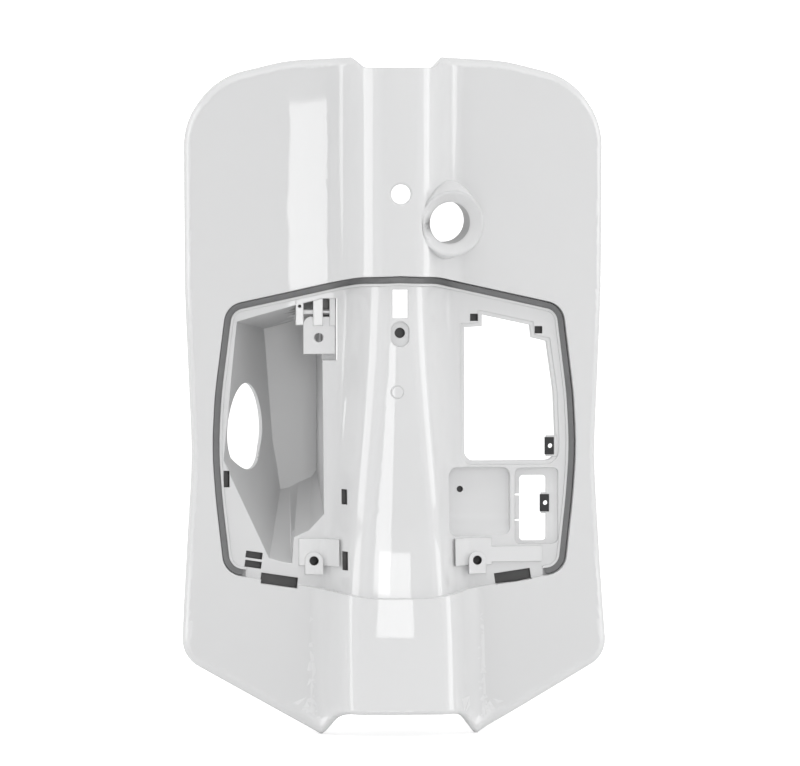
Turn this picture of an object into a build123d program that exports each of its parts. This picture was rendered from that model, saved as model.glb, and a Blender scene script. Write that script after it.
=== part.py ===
from build123d import *
import os
from functools import lru_cache
from math import sqrt

# Scooter leg shield, seen from the rider's side: one gloss moulding with a raised centre spine,
# a recess for the glovebox door, a deep pocket on the left and openings on the right.
# X runs to the right, Z up, and the rider sits on the -Y side. The origin is the seat of the
# screw in the centre column.

# Moulding
WALL = 3.0
FLANGE_DEPTH = 20.0
EDGE_ROLL = 12.0
ARCH_ROLL = 4.0

# Skin: a spine between two swept wings
SPINE_HEIGHT = 65.0
CREST_HALF = 28.0
CREST_HALF_LOW = 51.0
SPINE_HALF = 59.0
SPINE_HALF_LOW = 79.0
SPINE_STEP = 8.0
SPINE_SPREAD_TOP = 60.0
SPINE_SPREAD_END = -330.0
CREST_CROWN = 4.0
SPINE_ROUNDING = 26.0
WING_SWEEP = 25.0
WING_SWEEP_REACH = 155.0
FOOT_SWEEP = 45.0
FOOT_SWEEP_START = -200.0
FOOT_SWEEP_REACH = 213.0

# Outline, half of the width: from the neck over the ear, shoulder, waist and hip to the tip
NECK_Z = 272.0
NECK_HALF = 36.0
NECK_RADIUS = 8.0
EAR_X = 47.0
EAR_Z = 283.0
SIDE_POINTS = [(112, 279.5), (184, 262), (217, 215), (216, 40), (208.5, -130), (220.5, -337)]
SIDE_RADII = [150, 76, 76, 1500, 600, 30]
TIP_X = 79.0
TIP_Z = -414.0
ARCH_Z = -389.5
ARCH_HALF = 60.0
ARCH_RADIUS = 20.0
ARCH_END_Z = -385.0

# Door opening, half of the width: from the top over the shoulder and side to the foot
DOOR_TOP_Z = 58.5
DOOR_CORNER = 22.0
DOOR_POINTS = [(40, 57), (175, 27), (186.5, -65), (189.5, -122), (185.5, -175), (177, -250.5), (30, -272.5)]
DOOR_RADII = [60, DOOR_CORNER, 400, 400, 400, DOOR_CORNER, 100]
DOOR_FOOT_Z = DOOR_POINTS[-2][1]
DOOR_BOTTOM_Z = DOOR_POINTS[-1][1]
PLATFORM_DEPTH = 10.0
LIP_DEPTH = 8.0
CHANNEL_DEPTH = 18.0
CHANNEL_WIDTH = 7.3
CHANNEL_END_X = 154.0
CHANNEL_END_LIFT = 20.0
LIP_WIDTH = 2.5

# Seal in the channel
SEAL_WIDTH = 4.6
SEAL_HEIGHT = 8.0
SEAL_CLEARANCE = 0.3

# Deep pocket on the left: corner points at its mouth and at its back wall
POCKET_MOUTH = [
    (-167, 11),
    (-76, 34),
    (-74, -189),
    (-90, -206),
    (-105, -213),
    (-107, -240),
    (-131, -236),
    (-170, -163),
    (-185, -136),
]
POCKET_BACK = [
    (-130, 0),
    (-75, 15),
    (-75, -148),
    (-80, -155),
    (-94, -161),
    (-103, -166),
    (-113, -168),
    (-117, -140),
    (-121, -118),
]
POCKET_SET_BACK = 12.0
POCKET_DEPTH = 100.0
POCKET_HOLE_WIDTH = 80.0
POCKET_HOLE_HEIGHT = 90.0
POCKET_HOLE_Z = -99.5
POCKET_HOLE_PLACE = 0.48

# Screws and holes
SCREW_D = 9.4
COLUMN_SCREW_D = 10.6
SEAT_WIDTH = 18.6
SEAT_HEIGHT = 26.0
SEAT_DEPTH = 6.0
SEAT_TOP_Z = 11.8
SEAT_FRONT_Y = -40.0
BOSS_WALL = 3.0
BOSS_LENGTH = 16.0
BOSS_CHAMBER_DEPTH = 3.0
BOSS_CHAMBER_MARGIN = 1.0
HOOK_HOLE_D = 20.0
HOOK_HOLE_Z = 142.5
HOOK_CHAMFER = 2.0
LATCH_WIDTH = 15.6
LATCH_TOP_Z = 44.5
LATCH_BOTTOM_Z = 15.5
FOOT_SCREW_X = 84.7
FOOT_SCREW_Z = -237.0
DATE_RING_X = -2.8
DATE_RING_Z = -60.8
DATE_RING_D = 13.6
DATE_RING_WIDTH = 0.8

# Clip slots, hinge slots and tab holes, each with a closed box behind: x, z, width, height, tilt
SLOT_WALL = 2.0
SLOT_DEPTH = 12.0
SLOTS = [
    (-54.5, -170, 5, 15.5, 0),
    (-54.5, -235.5, 5, 19, 0),
    (-174, -153, 6, 17, 0),
    (-146, -231.5, 17, 7, -8),
    (-147, -241, 17, 7, -8),
    (-120.5, -257.5, 38, 11, -8),
    (122, -254, 38, 11, 8),
    (81.7, 14.2, 8, 7.5, 0),
    (149.5, 1, 8, 7.5, 0),
]

# Ignition lock: its ring faces the rider, turned to the right and a little down
LOCK_X = 54.0
LOCK_Z = 112.0
LOCK_RISE = 52.0
LOCK_D = 43.0
LOCK_RING_D = 63.0
LOCK_BOSS_D = 68.0
LOCK_SINK = 9.0
LOCK_DRAFT = 10.0
LOCK_TURN = 12.0
LOCK_DIP = 5.0
LOCK_SLEEVE = 22.0
LOCK_RIM = 0.5
LOCK_REACH = 75.0

# Bracket for a lever at the top of the pocket, moulded with it
BRACKET_LEFT = -95.0
BRACKET_TOP_Z = 15.0
BRACKET_BOTTOM_Z = -23.5
BRACKET_SCREW_X = -79.0
BRACKET_SCREW_Z = -6.5
BRACKET_CORNER = 8.0
BRACKET_SET_BACK = 14.0
BRACKET_EARS = [(-99, 20, 8, 27), (-80, 22, 10, 32), (-65, 22, 6, 32)]
EAR_BACK = 13.5
EAR_DEPTH = 16.0
EAR_HOLE_D = 3.2
PIVOT_D = 6.0
PIVOT_Z = 20.0
NICHE_RIGHT = -63.0
NICHE_BOTTOM_Z = -30.0
NICHE_DEPTH = 12.0

# Right-hand openings
TALL_LEFT = 71.5
TALL_RIGHT = 167.5
TALL_BOTTOM_Z = -134.5
TALL_POINTS = [
    (TALL_LEFT, 4),
    (90, 5),
    (90, 17),
    (140.5, 6),
    (142, -7),
    (158, -11),
    (165.5, -63.5),
    (TALL_RIGHT, -110),
    (TALL_RIGHT, TALL_BOTTOM_Z),
    (TALL_LEFT, TALL_BOTTOM_Z),
]
TALL_CORNER = 11.0
TALL_FRAME = 4.0
TALL_RIM = 14.0
TRAY_LEFT = 53.5
TRAY_RIGHT = 119.5
TRAY_TOP_Z = -141.0
TRAY_BOTTOM_Z = -212.0
TRAY_DEPTH = 14.0
TRAY_CORNER = 9.0
TRAY_RAMP_RISE = 24.0
TRAY_RAMP_RUN = 13.0
TRAY_RAMP_BELLY = (4.0, 9.0)
TRAY_SCREW_X = 68.2
TRAY_SCREW_Z = -164.2
TRAY_SCREW_D = 6.4
SOCKET_LEFT = 124.5
SOCKET_RIGHT = 170.5
SOCKET_TOP_Z = -142.0
SOCKET_BOTTOM_Z = -221.0
SOCKET_DEPTH = 18.0
SOCKET_CORNER = 6.0
SOCKET_HOLE_LEFT = 130.5
SOCKET_HOLE_RIGHT = 158.0
SOCKET_HOLE_TOP_Z = -150.0
SOCKET_HOLE_BOTTOM_Z = -218.0
SOCKET_HOLE_CORNER = 4.0
SOCKET_NOTCHES = [(128, -170.4), (128, -196.8)]
NOTCH_WIDTH = 6.0
NOTCH_HEIGHT = 2.0

# Pads round the lower screws and ribs behind the wings: x, z, width, height
PADS = [(-80, -228, 40, 28), (80, -228, 40, 28), (126, -231, 54, 16)]
PAD_RISE = 3.0
U_BOSS_WALL = 4.5
U_BOSS_LEG = 14.0
U_BOSS_RISE = 6.0
RIB_WALL = 2.0
UPPER_RIBS_X = (95, 140)
UPPER_RIBS_Z = 167.0
UPPER_RIB_LENGTH = 180.0
LOWER_RIBS_X = (110, 160)
LOWER_RIBS_Z = -305.0
LOWER_RIB_LENGTH = 50.0

# Clip nuts, folded from sheet steel over a tongue of the moulding
NUT_SHEET = 0.8
NUT_WIDTH = 18.0
NUT_LENGTH = 9.5
NUT_HOLE_D = 5.0
NUT_COLLAR = 3.0
NUT_COLLAR_WALL = 1.5
NUT_CLEARANCE = 0.2
TONGUE_REACH = 10.0
TONGUE_MARGIN = 2.0
TONGUE_HOLE_D = 6.5
TALL_NUT_Z = -119.5
SOCKET_NUT_Z = -179.0

WING_Y = SPINE_HEIGHT - PLATFORM_DEPTH - SEAT_DEPTH
REACH_X = 260.0
BEHIND = 200.0
IN_FRONT = 30.0
WING_LINE = [130, 195, REACH_X]
STATIONS = [330, 240, 150, 60, -45, -150, -225, -300, -365, -440]


def ease(value, start, end):
    share = min(max((value - start) / (end - start), 0), 1)
    return share * share * (3 - 2 * share)


def soft_min(a, b, reach):
    return min(a, b) - max(reach - abs(a - b), 0) ** 2 / (4 * reach)


def soft_max(a, b, reach):
    return -soft_min(-a, -b, reach)


def crest_half(z):
    return CREST_HALF + (CREST_HALF_LOW - CREST_HALF) * ease(z, SPINE_SPREAD_TOP, SPINE_SPREAD_END)


def spine_half(z):
    return SPINE_HALF + (SPINE_HALF_LOW - SPINE_HALF) * ease(z, SPINE_SPREAD_TOP, SPINE_SPREAD_END)


def skin_y(x, z, inset=0.0):
    """Y of the skin, or of the surface that lies inset behind it, measured square to it."""
    side = max(abs(x) - SPINE_HALF, 0) / WING_SWEEP_REACH
    foot = max(FOOT_SWEEP_START - z, 0) / FOOT_SWEEP_REACH
    wing = WING_Y + WING_SWEEP * side**2 - FOOT_SWEEP * foot**2
    slope = SPINE_HEIGHT / (spine_half(z) - crest_half(z))
    flank = (spine_half(z) - abs(x)) * slope - inset * (sqrt(1 + slope**2) - 1)
    crown = SPINE_HEIGHT - CREST_CROWN * (x / crest_half(z)) ** 2
    rise = soft_max(soft_min(flank, crown, SPINE_ROUNDING), 0, SPINE_ROUNDING)
    return wing - rise + inset


def skin_line(z, inset):
    crest = crest_half(z)
    root = spine_half(z)
    half = [crest / 2, crest - SPINE_STEP, crest, crest + SPINE_STEP, (crest + root) / 2]
    half += [root - SPINE_STEP, root, root + SPINE_STEP, root + 25]
    half += WING_LINE
    across = [-x for x in reversed(half)] + [0] + half
    return [(x, skin_y(x, z, inset)) for x in across]


@lru_cache(maxsize=None)
def skin_volume(front, back):
    """Solid between the two surfaces that lie front and back behind the skin."""
    with BuildPart() as volume:
        for z in STATIONS:
            with BuildSketch(Plane.XY.offset(z)):
                with BuildLine():
                    near = skin_line(z, front)
                    far = skin_line(z, back)
                    Spline(*near)
                    Spline(*far)
                    Line(near[0], far[0])
                    Line(near[-1], far[-1])
                make_face()
        loft()
    return volume.part


def layer(shape, front, back):
    """The part of an outline, run through the shield, between two depths behind the skin."""
    with BuildPart() as piece:
        extrude(to_extrude=shape, amount=-2 * BEHIND)
        add(skin_volume(front, back), mode=Mode.INTERSECT)
    return piece.part


def shield_outline(inset=0.0):
    with BuildSketch(Plane.XZ.offset(BEHIND)) as shape:
        with BuildLine():
            FilletPolyline((0, NECK_Z), (NECK_HALF, NECK_Z), (EAR_X, EAR_Z), radius=NECK_RADIUS)
            FilletPolyline((EAR_X, EAR_Z), *SIDE_POINTS, (TIP_X, TIP_Z), radius=SIDE_RADII)
            FilletPolyline((TIP_X, TIP_Z), (ARCH_HALF, ARCH_Z), (0, ARCH_Z), radius=ARCH_RADIUS)
            mirror(about=Plane.YZ)
        make_face()
        if inset:
            offset(amount=-inset, kind=Kind.ARC, mode=Mode.REPLACE)
    return shape.sketch


def door_outline(inset=0.0):
    with BuildSketch(Plane.XZ.offset(BEHIND)) as shape:
        with BuildLine():
            FilletPolyline((0, DOOR_TOP_Z), *DOOR_POINTS, (0, DOOR_BOTTOM_Z), radius=DOOR_RADII)
            mirror(about=Plane.YZ)
        make_face()
        if inset:
            offset(amount=-inset, kind=Kind.ARC, mode=Mode.REPLACE)
    return shape.sketch


def inner_outline(inset):
    """The door opening inside its channel. Along the bottom there is no channel."""
    with BuildSketch(Plane.XZ.offset(BEHIND)) as shape:
        add(door_outline(inset))
        with BuildSketch(Plane.XZ.offset(BEHIND), mode=Mode.ADD):
            add(door_outline())
            with Locations((0, (DOOR_FOOT_Z + DOOR_BOTTOM_Z) / 2 + CHANNEL_END_LIFT / 2)):
                Rectangle(2 * CHANNEL_END_X, 3 * CHANNEL_END_LIFT, mode=Mode.INTERSECT)
    return shape.sketch


def ring_outline(outside, inside):
    with BuildSketch(Plane.XZ.offset(BEHIND)) as shape:
        add(door_outline(outside))
        add(inner_outline(inside), mode=Mode.SUBTRACT)
    return shape.sketch


def polygon(points, y, margin=0.0):
    """Closed outline through points of X and Z, seen from the rider, at one depth."""
    with BuildSketch(Plane.XZ.offset(-y)) as shape:
        with BuildLine():
            Polyline(*points, close=True)
        make_face()
        if margin:
            offset(amount=margin, kind=Kind.INTERSECTION, mode=Mode.REPLACE)
    return shape.sketch


def skin_edges(part, x_low, x_high, z_low, z_high):
    """Edges of the rider-side skin whose middle lies in a window of |X| and Z."""
    wide = part.faces().sort_by(lambda face: face.area)[-2:]
    skin = wide.sort_by(lambda face: face.center().Y)[0]
    found = []
    for edge in skin.edges():
        middle = edge.center()
        if x_low < abs(middle.X) < x_high and z_low < middle.Z < z_high:
            found.append(edge)
    return found


# Moulded skin with its rolled edge and the flange behind it
with BuildPart() as rim:
    add(layer(shield_outline(), 0, BEHIND / 2))
    roll = skin_edges(rim.part, EAR_X, REACH_X, ARCH_END_Z, REACH_X + IN_FRONT)
    roll += skin_edges(rim.part, TIP_X, REACH_X, TIP_Z, ARCH_END_Z)
    fillet(roll, EDGE_ROLL)
    fillet(skin_edges(rim.part, -1, TIP_X - WALL, TIP_Z, ARCH_END_Z + IN_FRONT / 2), ARCH_ROLL)

with BuildPart() as hollow:
    add(layer(shield_outline(WALL), WALL, BEHIND))
    roll = skin_edges(hollow.part, EAR_X, REACH_X, ARCH_END_Z, REACH_X + IN_FRONT)
    roll += skin_edges(hollow.part, TIP_X - WALL, REACH_X, TIP_Z, ARCH_END_Z)
    fillet(roll, EDGE_ROLL - WALL)

# Door recess: channel floor, lip and platform
platform_back = PLATFORM_DEPTH + WALL
with BuildPart() as recess:
    add(layer(door_outline(-WALL), 1, CHANNEL_DEPTH + WALL))
    add(layer(door_outline(), -FLANGE_DEPTH, LIP_DEPTH), mode=Mode.SUBTRACT, clean=False)
    add(layer(ring_outline(0, CHANNEL_WIDTH), 0, CHANNEL_DEPTH), mode=Mode.SUBTRACT, clean=False)
    add(layer(inner_outline(CHANNEL_WIDTH + LIP_WIDTH), 0, PLATFORM_DEPTH), mode=Mode.SUBTRACT, clean=False)
    add(layer(inner_outline(CHANNEL_WIDTH + WALL), platform_back, BEHIND), mode=Mode.SUBTRACT, clean=False)

with BuildPart() as door_hole:
    extrude(to_extrude=door_outline(), amount=-2 * BEHIND)

# Deep pocket, a tapered box with a round hole in its slanted left wall
pocket_mouth_y = WING_Y + POCKET_SET_BACK
pocket_back_y = pocket_mouth_y + POCKET_DEPTH
with BuildPart() as pocket_shell:
    add(polygon(POCKET_MOUTH, pocket_mouth_y, WALL))
    add(polygon(POCKET_BACK, pocket_back_y + WALL, WALL))
    loft(ruled=True)
    add(skin_volume(PLATFORM_DEPTH + 1, BEHIND), mode=Mode.INTERSECT)

with BuildPart() as pocket_space:
    add(polygon(POCKET_MOUTH, pocket_mouth_y))
    add(polygon(POCKET_BACK, pocket_back_y))
    loft(ruled=True)
    extrude(to_extrude=polygon(POCKET_MOUTH, pocket_mouth_y), amount=IN_FRONT)


def left_wall_x(corners, z):
    """X of the pocket's left side at one height, between its lowest and topmost corner."""
    (top_x, top_z), (low_x, low_z) = corners[0], corners[-1]
    return top_x + (low_x - top_x) * (top_z - z) / (top_z - low_z)


wall_start = Vector(left_wall_x(POCKET_MOUTH, POCKET_HOLE_Z), pocket_mouth_y, POCKET_HOLE_Z)
wall_end = Vector(left_wall_x(POCKET_BACK, POCKET_HOLE_Z), pocket_back_y, POCKET_HOLE_Z)
wall_run = (wall_end - wall_start).normalized()
wall_square = Vector(wall_run.Y, -wall_run.X, 0)
hole_centre = wall_start + (wall_end - wall_start) * POCKET_HOLE_PLACE
with BuildPart() as pocket_hole:
    with BuildSketch(Plane(hole_centre, x_dir=wall_run, z_dir=wall_square)):
        Ellipse(POCKET_HOLE_WIDTH / 2, POCKET_HOLE_HEIGHT / 2)
    extrude(amount=2 * WALL, both=True)

def block(left, right, bottom, top, front_y, back_y, radius=0.0):
    """Box between two depths, with its edges along Y rounded."""
    with BuildPart() as piece:
        with BuildSketch(Plane.XZ.offset(-back_y)):
            with Locations(((left + right) / 2, (bottom + top) / 2)):
                if radius:
                    RectangleRounded(right - left, top - bottom, radius)
                else:
                    Rectangle(right - left, top - bottom)
        extrude(amount=back_y - front_y)
    return piece.part


def under_platform(piece):
    with BuildPart() as trimmed:
        add(piece)
        add(skin_volume(PLATFORM_DEPTH + 1, BEHIND), mode=Mode.INTERSECT)
    return trimmed.part


# Bracket and the niche that it hangs in, beside the top of the pocket
bracket_y = WING_Y + BRACKET_SET_BACK
niche_back_y = bracket_y + NICHE_DEPTH
niche_left, niche_top_z = POCKET_MOUTH[1]
niche = block(niche_left - WALL, NICHE_RIGHT + WALL, NICHE_BOTTOM_Z, niche_top_z, 0, niche_back_y)
niche_wall = under_platform(
    block(
        niche_left - WALL,
        NICHE_RIGHT + WALL,
        NICHE_BOTTOM_Z - WALL,
        niche_top_z + WALL,
        0,
        niche_back_y + WALL,
    )
)

with BuildPart() as bracket:
    with BuildSketch(Plane.XZ.offset(-bracket_y - WALL)):
        with BuildLine():
            Polyline(
                (NICHE_RIGHT + 1, BRACKET_TOP_Z),
                (BRACKET_LEFT, BRACKET_TOP_Z),
                (BRACKET_LEFT, BRACKET_BOTTOM_Z),
                (NICHE_RIGHT + 1, BRACKET_BOTTOM_Z),
                close=True,
            )
        plate = make_face()
        fillet(plate.vertices().group_by(Axis.X)[0].sort_by(Axis.Z)[0], BRACKET_CORNER)
        with Locations((BRACKET_SCREW_X, BRACKET_SCREW_Z)):
            Circle(SCREW_D / 2, mode=Mode.SUBTRACT)
    extrude(amount=WALL)
    with BuildSketch(Plane.XZ.offset(-bracket_y - EAR_BACK)):
        for ear_x, ear_z, ear_width, ear_height in BRACKET_EARS:
            with Locations((ear_x, ear_z)):
                Rectangle(ear_width, ear_height)
        with Locations((BRACKET_EARS[0][0], PIVOT_Z + PIVOT_D)):
            Circle(EAR_HOLE_D / 2, mode=Mode.SUBTRACT)
    extrude(amount=EAR_DEPTH)
    with BuildSketch(Plane.YZ.offset(BRACKET_EARS[0][0])):
        with Locations((bracket_y + 2, PIVOT_Z)):
            Circle(PIVOT_D / 2)
    extrude(amount=NICHE_RIGHT - BRACKET_EARS[0][0])

# Tall opening on the right, with a stepped frame, a rim behind it and two eared corners
def tall_outline(margin):
    shape = polygon(TALL_POINTS, -BEHIND, margin)
    with BuildSketch(Plane.XZ.offset(BEHIND)) as rounded:
        add(shape)
        fillet(rounded.vertices().group_by(Axis.Y)[0], TALL_CORNER + margin)
    return rounded.sketch


tall_rim = layer(tall_outline(WALL), PLATFORM_DEPTH + 1.5, PLATFORM_DEPTH + TALL_RIM)
tall_step = layer(tall_outline(TALL_FRAME), 0, PLATFORM_DEPTH + 1)
with BuildPart() as tall_hole:
    extrude(to_extrude=tall_outline(0), amount=-2 * BEHIND)

# Small tray and socket recess below the tall opening
front_y = WING_Y - IN_FRONT
tray_floor_y = WING_Y + PLATFORM_DEPTH + TRAY_DEPTH
tray_shell = under_platform(
    block(
        TRAY_LEFT - WALL,
        TRAY_RIGHT + WALL,
        TRAY_BOTTOM_Z - WALL,
        TRAY_TOP_Z + WALL,
        front_y,
        tray_floor_y + WALL,
        TRAY_CORNER + WALL,
    )
)
ramp_top_z = TRAY_BOTTOM_Z + TRAY_RAMP_RISE
ramp_foot_y = tray_floor_y - TRAY_RAMP_RUN
belly_y = tray_floor_y - TRAY_RAMP_BELLY[0]
belly_z = TRAY_BOTTOM_Z + TRAY_RAMP_BELLY[1]
with BuildPart() as tray_space:
    with BuildSketch(Plane.YZ.offset(TRAY_LEFT)):
        with BuildLine():
            Polyline(
                (front_y, TRAY_BOTTOM_Z),
                (front_y, TRAY_TOP_Z),
                (tray_floor_y, TRAY_TOP_Z),
                (tray_floor_y, ramp_top_z),
            )
            ThreePointArc((tray_floor_y, ramp_top_z), (belly_y, belly_z), (ramp_foot_y, TRAY_BOTTOM_Z))
            Line((ramp_foot_y, TRAY_BOTTOM_Z), (front_y, TRAY_BOTTOM_Z))
        make_face()
    extrude(amount=TRAY_RIGHT - TRAY_LEFT)
    fillet(tray_space.edges().filter_by(Axis.Y), TRAY_CORNER)

with BuildPart() as tray_boss:
    with BuildSketch(Plane.XZ.offset(1 - tray_floor_y)):
        with Locations((TRAY_SCREW_X, TRAY_SCREW_Z)):
            Circle(TRAY_SCREW_D / 2 + SLOT_WALL)
    extrude(amount=-SLOT_DEPTH)
with BuildPart() as tray_bore:
    with BuildSketch(Plane.XZ.offset(WALL - tray_floor_y)):
        with Locations((TRAY_SCREW_X, TRAY_SCREW_Z)):
            Circle(TRAY_SCREW_D / 2)
    extrude(amount=-SLOT_DEPTH)

socket_floor_y = WING_Y + PLATFORM_DEPTH + SOCKET_DEPTH
socket_shell = under_platform(
    block(
        SOCKET_LEFT - WALL,
        SOCKET_RIGHT + WALL,
        SOCKET_BOTTOM_Z - WALL,
        SOCKET_TOP_Z + WALL,
        front_y,
        socket_floor_y + WALL,
        SOCKET_CORNER + 2,
    )
)
socket_space = block(
    SOCKET_LEFT, SOCKET_RIGHT, SOCKET_BOTTOM_Z, SOCKET_TOP_Z, front_y, socket_floor_y, SOCKET_CORNER
)
socket_hole = block(
    SOCKET_HOLE_LEFT,
    SOCKET_HOLE_RIGHT,
    SOCKET_HOLE_BOTTOM_Z,
    SOCKET_HOLE_TOP_Z,
    front_y,
    BEHIND,
    SOCKET_HOLE_CORNER,
)

# Ignition-lock boss
lock_axis = Vector(0, -1, 0).rotate(Axis.Z, LOCK_TURN).rotate(Axis.X, LOCK_DIP)
lock_plane = Plane((LOCK_X, WING_Y - LOCK_RISE, LOCK_Z), z_dir=lock_axis)
with BuildPart() as lock_boss:
    with BuildSketch(lock_plane):
        Circle(LOCK_BOSS_D / 2)
    extrude(amount=-LOCK_REACH, taper=-LOCK_DRAFT)
    add(skin_volume(-BEHIND / 2, WALL / 2), mode=Mode.INTERSECT)

with BuildPart() as lock_hollow:
    with BuildSketch(lock_plane.offset(-LOCK_SINK - WALL)):
        Circle(LOCK_BOSS_D / 2 - WALL)
        Circle(LOCK_D / 2 + WALL, mode=Mode.SUBTRACT)
    extrude(amount=-LOCK_SLEEVE)
    with BuildSketch(lock_plane.offset(-LOCK_SINK - LOCK_SLEEVE)):
        Circle(LOCK_BOSS_D / 2 - WALL)
    extrude(amount=-LOCK_REACH)

with BuildPart() as lock_bore:
    with BuildSketch(lock_plane):
        Circle(LOCK_RING_D / 2)
    with BuildSketch(lock_plane.offset(-LOCK_SINK)):
        Circle(LOCK_D / 2)
    loft()
    with BuildSketch(lock_plane.offset(-LOCK_SINK)):
        Circle(LOCK_D / 2)
    extrude(amount=-LOCK_REACH)
    with BuildSketch(lock_plane):
        Circle(LOCK_BOSS_D / 2 - LOCK_RIM)
    extrude(amount=LOCK_REACH)

# Screw bosses. Each bore opens into a wider chamber, and that is closed at the back
screws = [
    (0, 0, COLUMN_SCREW_D),
    (-FOOT_SCREW_X, FOOT_SCREW_Z, SCREW_D),
    (FOOT_SCREW_X, FOOT_SCREW_Z, SCREW_D),
]
bore_back = PLATFORM_DEPTH + BOSS_LENGTH
chamber_back = bore_back + BOSS_CHAMBER_DEPTH


def screw_circles(margin):
    with BuildSketch(Plane.XZ.offset(BEHIND)) as circles:
        for x, z, diameter in screws:
            with Locations((x, z)):
                Circle(diameter / 2 + margin)
    return circles.sketch


with BuildPart() as screw_chambers:
    for x, z, diameter in screws:
        with BuildSketch(Plane.XZ.offset(-skin_y(x, z, chamber_back))):
            with Locations((x, z)):
                Circle(diameter / 2 + BOSS_CHAMBER_MARGIN)
        extrude(amount=skin_y(x, z, chamber_back) - skin_y(x, z, bore_back))

screw_bosses = layer(screw_circles(BOSS_WALL), PLATFORM_DEPTH + 1, chamber_back + WALL)
screw_bores = layer(screw_circles(0), -FLANGE_DEPTH, (bore_back + chamber_back) / 2)


def slot_boxes(margin):
    """Boxes of the slots, from in front of the platform to one depth behind it."""
    with BuildPart() as boxes:
        for x, z, width, height, tilt in SLOTS:
            back_y = skin_y(x, z, PLATFORM_DEPTH) + SLOT_DEPTH + margin
            with BuildSketch(Plane.XZ.offset(-back_y)):
                with Locations(Location((x, z), tilt)):
                    Rectangle(width + 2 * margin, height + 2 * margin)
            extrude(amount=SLOT_DEPTH + margin + FLANGE_DEPTH)
    return boxes.part


slot_shells = under_platform(slot_boxes(SLOT_WALL))
slot_spaces = slot_boxes(0)

# Pads and ribs that stand on the moulding

with BuildSketch(Plane.XZ.offset(BEHIND)) as pad_shapes:
    for x, z, width, height in PADS:
        with Locations((x, z)):
            Rectangle(width, height)
pads = layer(pad_shapes.sketch, PLATFORM_DEPTH - PAD_RISE, PLATFORM_DEPTH + 1)

with BuildSketch(Plane.XZ.offset(BEHIND)) as u_shapes:
    with Locations((-FOOT_SCREW_X, FOOT_SCREW_Z), (FOOT_SCREW_X, FOOT_SCREW_Z)):
        Circle(SCREW_D / 2 + U_BOSS_WALL)
        with Locations((0, -U_BOSS_LEG / 2)):
            Rectangle(SCREW_D + 2 * U_BOSS_WALL, U_BOSS_LEG)
u_bosses = layer(u_shapes.sketch, PLATFORM_DEPTH - U_BOSS_RISE, PLATFORM_DEPTH + 1)

with BuildSketch(Plane.XZ.offset(BEHIND)) as rib_shapes:
    with Locations(*[(side * x, UPPER_RIBS_Z) for side in (-1, 1) for x in UPPER_RIBS_X]):
        Rectangle(RIB_WALL, UPPER_RIB_LENGTH)
    with Locations(*[(side * x, LOWER_RIBS_Z) for side in (-1, 1) for x in LOWER_RIBS_X]):
        Rectangle(RIB_WALL, LOWER_RIB_LENGTH)
ribs = layer(rib_shapes.sketch, WALL / 2, CHANNEL_DEPTH)

# Holes that go through the moulding
with BuildPart() as holes:
    with BuildSketch(Plane.XZ.offset(BEHIND)):
        with Locations((0, HOOK_HOLE_Z)):
            Circle(HOOK_HOLE_D / 2)
        with Locations((0, (LATCH_TOP_Z + LATCH_BOTTOM_Z) / 2)):
            Rectangle(LATCH_WIDTH, LATCH_TOP_Z - LATCH_BOTTOM_Z)
        with Locations(*SOCKET_NOTCHES):
            Rectangle(NOTCH_WIDTH, NOTCH_HEIGHT)
    extrude(amount=-2 * BEHIND)

hook_skin_y = skin_y(0, HOOK_HOLE_Z)
with BuildPart() as hook_chamfer:
    with BuildSketch(Plane.XZ.offset(1 - hook_skin_y)):
        with Locations((0, HOOK_HOLE_Z)):
            Circle(HOOK_HOLE_D / 2 + HOOK_CHAMFER + 1)
    with BuildSketch(Plane.XZ.offset(-HOOK_CHAMFER - hook_skin_y)):
        with Locations((0, HOOK_HOLE_Z)):
            Circle(HOOK_HOLE_D / 2)
    loft()

ring_floor_y = skin_y(DATE_RING_X, DATE_RING_Z, PLATFORM_DEPTH) + DATE_RING_WIDTH / 2
with BuildPart() as date_ring:
    with BuildSketch(Plane.XZ.offset(-ring_floor_y)):
        with Locations((DATE_RING_X, DATE_RING_Z)):
            Circle(DATE_RING_D / 2)
            Circle(DATE_RING_D / 2 - DATE_RING_WIDTH, mode=Mode.SUBTRACT)
    extrude(amount=WALL)

seat_shell = under_platform(
    block(
        -SEAT_WIDTH / 2 - WALL,
        SEAT_WIDTH / 2 + WALL,
        SEAT_TOP_Z - SEAT_HEIGHT - WALL,
        SEAT_TOP_Z + WALL,
        SEAT_FRONT_Y,
        WALL,
        SEAT_WIDTH / 2 + WALL - 0.1,
    )
)
# Tongues that carry the clip nuts: one in the tall opening, one at the socket hole
tall_tip_x = TALL_RIGHT - TONGUE_REACH
tall_tongue_y = skin_y(TALL_RIGHT, TALL_NUT_Z, PLATFORM_DEPTH)
socket_tip_x = SOCKET_HOLE_RIGHT - TONGUE_REACH / 2


def tongue(tip_x, root_x, z, front_y):
    half = NUT_WIDTH / 2 + TONGUE_MARGIN
    return block(tip_x, root_x, z - half, z + half, front_y, front_y + WALL)


tongues = [
    tongue(tall_tip_x, TALL_RIGHT + WALL / 2, TALL_NUT_Z, tall_tongue_y),
    tongue(socket_tip_x, SOCKET_HOLE_RIGHT + WALL, SOCKET_NUT_Z, socket_floor_y),
]
tall_nut_x = tall_tip_x + NUT_LENGTH / 2
socket_nut_x = socket_tip_x + NUT_LENGTH / 2
with BuildPart() as tongue_holes:
    with BuildSketch(Plane.XZ.offset(BEHIND)):
        with Locations((tall_nut_x, TALL_NUT_Z), (socket_nut_x, SOCKET_NUT_Z)):
            Circle(TONGUE_HOLE_D / 2)
    extrude(amount=-2 * BEHIND)

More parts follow.
